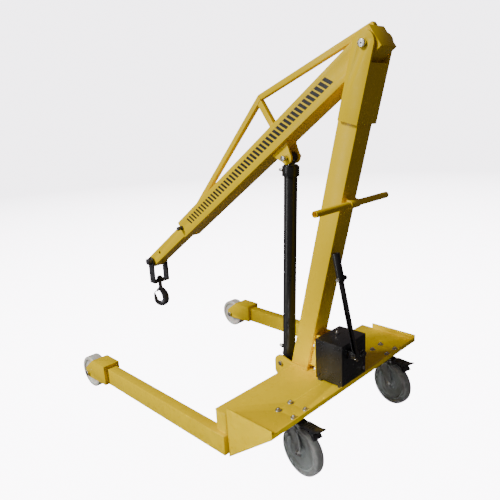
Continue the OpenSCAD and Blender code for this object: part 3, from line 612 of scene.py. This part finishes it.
def caster(side):
    """Tyre with rounded shoulders, axle washers and nuts, swivel race and pedal grips."""
    spin = JOINTS["caster_spin_" + side]
    at, axis = Vector(spin["pos_m"]), Vector(spin["axis"])
    profile = [(a, -b) for a, b in TYRE_WALL] + [(TYRE_R, 0)] + TYRE_WALL[::-1]
    profile.append((TYRE_WALL[0][0], -TYRE_WALL[0][1]))
    wheel = "caster_wheel_" + side
    tyre = turned("tyre_" + side, profile, along(at, axis), 96, "grey_rubber", wheel, smooth=40)
    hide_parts("caster_tyre_" + side)
    rounded("caster_hub_" + side, HUB_EDGE, 2)
    fork = "caster_" + side
    for way in (-1, 1):
        outer = along(at + axis * way * FORK_OUTSIDE, axis * way)
        turned(f"axle_washer_{side}_{way + 1}", AXLE_WASHER, outer, 36, "zinc_steel", fork)
        turned(f"axle_nut_{side}_{way + 1}", AXLE_NUT, outer, 6, "zinc_steel", fork, smooth=20)
    swivel = Vector(JOINTS["caster_swivel_" + side]["pos_m"])
    race = Matrix.Translation((swivel.x, swivel.y, 0))
    turned("swivel_race_" + side, SWIVEL_RACE, race, 64, "grey_steel", fork)
    back = Vector((0, 0, 1)).cross(-Vector(JOINTS["brake_" + side]["axis"])) * -1
    if back.y < 0:
        back = -back
    across = axis * 0.0155
    bm = bmesh.new()
    for i in range(4):
        s = GRIP_FIRST + GRIP_PITCH * i
        p = swivel + back * s
        middle = Vector((p.x, p.y, PEDAL_TOP + PEDAL_SLOPE * (s - PEDAL_START)))
        sweep(bm, [middle - across, middle + across], 0.0015)
    finish_mesh("pedal_grips_" + side, bm, "black_paint", "pedal_" + side)


for side_name in ("left", "right"):
    caster(side_name)
    rounded("front_wheel_" + side_name, ROLLER_EDGE, 3)


# ---------------------------------------------------------------- washers, welds and small fittings
def deck_washers():
    """A washer and a bolt end on top of each caster bolt."""
    bolt_dx, bolt_dy = 0.0355, 0.0385
    washer = [
        (0.0085, 0), (0.0132, 0), (0.0132, 0.0014), (0.0128, 0.0018), (0.0085, 0.0018), (0.0085, 0)]
    bolt_end = [(0, 0.0068), (0.0050, 0.0068), (0.0050, 0.0100), (0.0044, 0.0108), (0, 0.0108)]
    deck_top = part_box("deck_plate")[1].z
    bm = bmesh.new()
    for side in ("left", "right"):
        c = Vector(JOINTS["caster_swivel_" + side]["pos_m"])
        for dx in (-bolt_dx, bolt_dx):
            for dy in (-bolt_dy, bolt_dy):
                place = Matrix.Translation((c.x + dx, c.y + dy, deck_top))
                lathe(bm, washer, place, 32)
                lathe(bm, bolt_end, place, 24)
    finish_mesh("deck_washers", bm, "zinc_steel", "frame")


deck_washers()

SIDES = ((1, "left"), (-1, "right"))


def frame_welds():
    """Beads around the mast's foot, along the deck's plates and at the legs."""
    mast_foot_depth = 0.0907
    deck_low, deck_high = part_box("deck_plate")
    rail_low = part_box("rear_rail")[0]
    z = deck_high.z
    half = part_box("mast_tube")[1].x
    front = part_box("mast_tube")[0].y
    rear = front + mast_foot_depth
    bead_start = front + 0.02
    weld("mast_foot_weld",
         [(half, bead_start, z), (half, rear, z), (-half, rear, z), (-half, bead_start, z)],
         "frame", 0.0042)
    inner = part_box("side_plate_left")[0].x
    for sign, name in SIDES:
        x = sign * inner
        weld("side_plate_weld_" + name,
             [(x, deck_low.y + 0.07, z), (x, -0.010 + rail_low.y, z)], "frame", 0.0030)
    for sign, name in SIDES:
        weld("rear_rail_weld_" + name,
             [(sign * 0.10, rail_low.y, z), (sign * (inner - 0.004), rail_low.y, z)], "frame", 0.0028)
    cross_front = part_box("cross_member")[0].y
    for _, side in SIDES:
        low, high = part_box("leg_" + side)
        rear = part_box("roller_housing_" + side)[1].y
        foot = low.z + 0.002
        weld("housing_weld_" + side,
             [(low.x, rear, foot), (low.x, rear, high.z), (high.x, rear, high.z), (high.x, rear, foot)],
             "frame", 0.0032)
        weld("leg_top_weld_" + side,
             [(low.x, cross_front, high.z), (high.x - 0.02, cross_front, high.z)], "frame", 0.0034)


frame_welds()


def boom_welds():
    """Beads at the truss, the lug pad, the lugs and the tail plate, placed by on_boom."""
    for sign, name in SIDES:
        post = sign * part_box("truss_post")[1].x
        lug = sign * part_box("ram_lugs")[1].x
        for label, start, end, x, size in (
                ("post_weld_", (0.530, BOOM_TOP), (0.558, BOOM_TOP), post, 0.0026),
                ("upper_tie_weld_", (-0.042, BOOM_TOP), (-0.010, BOOM_TOP), post, 0.0026),
                ("lower_tie_weld_", (1.178, BOOM_TOP), (1.294, BOOM_TOP), post, 0.0026),
                ("apex_weld_", (0.530, 0.178), (0.530, 0.201), post, 0.0022),
                ("lug_pad_weld_", (0.503, BOOM_BOTTOM), (0.603, BOOM_BOTTOM), lug, 0.0030),
                ("lug_weld_", (0.508, LUG_PAD_BOTTOM), (0.598, LUG_PAD_BOTTOM), lug, 0.0026)):
            weld(label + name, [on_boom(*start, x), on_boom(*end, x)], "boom", size)
    foot = BOOM_BOTTOM + 0.002
    weld("tail_weld",
         [on_boom(BOOM_TAIL, foot, BOOM_HALF), on_boom(BOOM_TAIL, BOOM_TOP, BOOM_HALF),
          on_boom(BOOM_TAIL, BOOM_TOP, -BOOM_HALF), on_boom(BOOM_TAIL, foot, -BOOM_HALF)],
         "boom", 0.0016)


boom_welds()


def head_pin_grease():
    """Grease nipple on the near end of the boom's pivot pin."""
    sunk = 0.0005
    nipple = [
        (0, 0), (0.0030, 0), (0.0030, 0.0018), (0.0018, 0.0026), (0.0022, 0.0040), (0.0012, 0.0050),
        (0, 0.0050)]
    place = along((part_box("head_pin")[1].x - sunk, lift_at.y, lift_at.z), (1, 0, 0))
    turned("pivot_grease_nipple", nipple, place, 24, "zinc_steel", "frame")


head_pin_grease()


def ram_fittings():
    """A union and a port at each end of the barrel, and the foot's weld ring."""
    foot = Vector(JOINTS["ram_tilt"]["pos_m"])
    up = Vector(JOINTS["ram_stroke"]["axis"]).normalized()
    ahead = Vector((0, -up.z, up.y))
    lower = 0.052
    upper = (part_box("ram_gland")[0].z - foot.z) / up.z + 0.022
    port = [(0.0030, 0.009), (0.0062, 0.009), (0.0062, 0.018), (0.0055, 0.019), (0.0030, 0.019),
            (0.0030, 0.009)]
    for name, along_ram, out, size in (("lower", lower, 0.038, 0.0095), ("upper", upper, 0.044, 0.0075)):
        place = along(foot + up * along_ram + ahead * out, ahead)
        union = [(0, 0), (size, 0), (size, 0.009), (size * 0.9, 0.010), (0, 0.010)]
        turned("ram_union_" + name, union, place, 6, "zinc_steel", "ram_cylinder", smooth=20)
        turned("ram_port_" + name, port, place, 24, "zinc_steel", "ram_cylinder")
    bead = [(0.0285, 0.026), (0.0312, 0.027), (0.0318, 0.030), (0.0312, 0.033), (0.0285, 0.034),
            (0.0285, 0.026)]
    turned("ram_foot_weld", bead, along(foot, up), 64, "black_paint", "ram_cylinder")


ram_fittings()


def rod_eye_jacket():
    """Black paint over the rod's eye and its short neck, which stay outside the gland."""
    eye_low, eye_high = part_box("ram_top_pins")
    eye = (eye_low + eye_high) / 2
    centre = (0, eye.y, eye.z)
    up = Vector(JOINTS["ram_stroke"]["axis"]).normalized()
    neck = [
        (0.0172, -0.0300), (0.0188, -0.0294), (0.0192, -0.0225), (0.0180, -0.0120), (0.0172, -0.0300)]
    bm = bmesh.new()
    lathe(bm, ring_profile(0.0196, 0.0202, -ROD_EYE_HALF, ROD_EYE_HALF), along(centre, (1, 0, 0)), 48)
    lathe(bm, neck, along(centre, up), 48)
    finish_mesh("rod_eye_jacket", bm, "black_paint", "ram_piston")


rod_eye_jacket()


def pump_details():
    """Screws on the cover, the filler plug's ring, the knob's washer and a hexagon fitting."""
    low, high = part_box("pump_cover")
    screw_dz, screw_dy = 0.016, 0.014
    screw = [
        (0, 0), (0.0048, 0), (0.0046, 0.0012), (0.0036, 0.0021), (0.0022, 0.0024), (0.0020, 0.0012),
        (0, 0.0012)]
    bm = bmesh.new()
    for z in (low.z + screw_dz, high.z - screw_dz):
        for y in (low.y + screw_dy, high.y - screw_dy):
            lathe(bm, screw, along((high.x, y, z), (1, 0, 0)), 24)
            lathe(bm, screw, along((low.x, y, z), (-1, 0, 0)), 24)
    finish_mesh("cover_screws", bm, "black_paint", "frame")
    plug_low, plug_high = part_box("filler_plug")
    c = (plug_low + plug_high) / 2
    ring_r, ring_up, ring_points = 0.007, 0.005, 24
    ring = [
        Vector((c.x, c.y + ring_r * cos(a), plug_high.z + ring_up + ring_r * sin(a)))
        for a in (2 * pi * k / ring_points for k in range(ring_points))]
    bm = bmesh.new()
    sweep(bm, ring, 0.0011, closed=True)
    finish_mesh("filler_ring", bm, "zinc_steel", "frame")
    knob = Vector(JOINTS["release_turn"]["pos_m"])
    hexagon = [(0, 0), (0.0075, 0), (0.0075, 0.006), (0.0060, 0.0075), (0, 0.0075)]
    bm = bmesh.new()
    lathe(bm, ring_profile(0.0095, 0.0150, 0, 0.0016), along((knob.x, high.y, knob.z), (0, 1, 0)), 36)
    lathe(bm, hexagon, along((knob.x - 0.008, high.y, low.z + 0.028), (0, 1, 0)), 6)
    finish_mesh("cover_fittings", bm, "zinc_steel", "frame", smooth=20)


pump_details()


def sleeve_screw():
    """Plated head of the clamp screw, on the near side of the lever's sleeve."""
    pivot = Vector(JOINTS["lever_pump"]["pos_m"])
    up = Vector(JOINTS["handle_slide"]["axis"]).normalized()
    head = [(0, 0), (0.0092, 0), (0.0092, 0.0058), (0.0080, 0.0070), (0, 0.0070)]
    place = along(pivot + up * 0.316 + Vector((0.0165, 0, 0)), (1, 0, 0))
    turned("sleeve_screw_head", head, place, 6, "zinc_steel", "lever_handle", smooth=20)


sleeve_screw()

# ---------------------------------------------------------------- camera, light and floor
AZIMUTH = 135.53
PITCH = 15.0
ROLL = -3.12
EYE = Vector((1.66494, 1.74033, 1.36898))
LENS = 37.26
SENSOR = 36.0
BACKDROP = (0.97, 0.925, 0.99, 1.0)
BACKDROP_STRENGTH = 4.7
AMBIENT = (1.0, 0.80, 0.74, 1.0)
AMBIENT_STRENGTH = 0.12
FLOOR_HALF = 30.0
FLOOR_CELLS = 8
FLOOR_DROP = 0.0005
GLOW_NEAR = 10.0
GLOW_FAR = 4.6
GLOW_FROM = 1.0
GLOW_TO = 9.0
SUN_STRENGTH = 2.9
SUN_ANGLE = 16
SUN_COLOR = (1.0, 0.98, 0.94)
SUN_FROM = (1.0, -0.50, 0.95)


def camera():
    a, p, r = radians(AZIMUTH), radians(PITCH), radians(ROLL)
    back = Vector((sin(a) * cos(p), -cos(a) * cos(p), sin(p)))
    right = Vector((cos(a), sin(a), 0))
    up = back.cross(right)
    right_rolled = right * cos(r) + up * sin(r)
    up_rolled = up * cos(r) - right * sin(r)
    data = bpy.data.cameras.new("view")
    data.lens = LENS
    data.sensor_width = SENSOR
    data.clip_end = 60.0
    obj = bpy.data.objects.new("view", data)
    turn = Matrix((right_rolled, up_rolled, back)).transposed().to_4x4()
    obj.matrix_world = Matrix.Translation(EYE) @ turn
    link(obj)
    bpy.context.scene.camera = obj


def area_light(name, at, size, watts, target, spread=180):
    data = bpy.data.lights.new(name, "AREA")
    data.shape = "RECTANGLE"
    data.size = size[0]
    data.size_y = size[1]
    data.energy = watts
    data.spread = radians(spread)
    obj = bpy.data.objects.new(name, data)
    direction = Vector(target) - Vector(at)
    obj.matrix_world = (
        Matrix.Translation(at) @ direction.to_track_quat("-Z", "Y").to_matrix().to_4x4())
    link(obj)


def backdrop_glow(tree, shader):
    """Brightens the floor for the viewer only, less with distance, so that it lights nothing."""
    place = tree.nodes.new("ShaderNodeTexCoord")
    distance = tree.nodes.new("ShaderNodeVectorMath")
    distance.operation = "LENGTH"
    tree.links.new(place.outputs["Object"], distance.inputs[0])
    fade = tree.nodes.new("ShaderNodeMapRange")
    fade.inputs["From Min"].default_value = GLOW_FROM
    fade.inputs["From Max"].default_value = GLOW_TO
    fade.inputs["To Min"].default_value = GLOW_NEAR
    fade.inputs["To Max"].default_value = GLOW_FAR
    tree.links.new(distance.outputs["Value"], fade.inputs["Value"])
    path = tree.nodes.new("ShaderNodeLightPath")
    scale = tree.nodes.new("ShaderNodeMath")
    scale.operation = "MULTIPLY"
    tree.links.new(path.outputs["Is Camera Ray"], scale.inputs[0])
    tree.links.new(fade.outputs["Result"], scale.inputs[1])
    shader.inputs["Emission Color"].default_value = BACKDROP
    tree.links.new(scale.outputs["Value"], shader.inputs["Emission Strength"])


def floor():
    bm = bmesh.new()
    cell = 2 * FLOOR_HALF / FLOOR_CELLS
    for i in range(FLOOR_CELLS):
        for j in range(FLOOR_CELLS):
            x0, y0 = cell * i - FLOOR_HALF, cell * j - FLOOR_HALF
            x1, y1 = x0 + cell, y0 + cell
            corners = ((x0, y0, 0), (x1, y0, 0), (x1, y1, 0), (x0, y1, 0))
            bm.faces.new([bm.verts.new(c) for c in corners])
    bmesh.ops.remove_doubles(bm, verts=bm.verts, dist=MERGE)
    mesh = bpy.data.meshes.new("floor")
    bm.to_mesh(mesh)
    bm.free()
    finish = floor_finish("floor_finish")
    backdrop_glow(finish.node_tree, finish.node_tree.nodes["Principled BSDF"])
    mesh.materials.append(finish)
    obj = bpy.data.objects.new("floor", mesh)
    obj.location.z = -FLOOR_DROP
    link(obj)


def surroundings():
    """A bright backdrop for the camera and a dim warm light for everything else."""
    world = bpy.data.worlds.new("studio")
    world.use_nodes = True
    tree = world.node_tree
    sky = tree.nodes["Background"]
    path = tree.nodes.new("ShaderNodeLightPath")
    tint = tree.nodes.new("ShaderNodeMix")
    tint.data_type = "RGBA"
    tint.inputs[MIX_FIRST].default_value = AMBIENT
    tint.inputs[MIX_SECOND].default_value = BACKDROP
    tree.links.new(path.outputs["Is Camera Ray"], tint.inputs["Factor"])
    tree.links.new(tint.outputs[MIX_RESULT], sky.inputs["Color"])
    level = tree.nodes.new("ShaderNodeMapRange")
    level.inputs["To Min"].default_value = AMBIENT_STRENGTH
    level.inputs["To Max"].default_value = BACKDROP_STRENGTH
    tree.links.new(path.outputs["Is Camera Ray"], level.inputs["Value"])
    tree.links.new(level.outputs["Result"], sky.inputs["Strength"])
    bpy.context.scene.world = world


def lights():
    data = bpy.data.lights.new("sun", "SUN")
    data.energy = SUN_STRENGTH
    data.angle = radians(SUN_ANGLE)
    data.color = SUN_COLOR
    sun = bpy.data.objects.new("sun", data)
    sun.rotation_euler = Vector(SUN_FROM).to_track_quat("Z", "Y").to_euler()
    link(sun)
    area_light("strip", (3.2, -1.2, 1.5), (0.3, 2.6), 30, (0, 0, 0.7))
    area_light("wheel_fill", (2.6, 1.9, 0.16), (0.5, 0.10), 0.8, (0.1, 0.57, 0.04), 24)


camera()
floor()
surroundings()
lights()
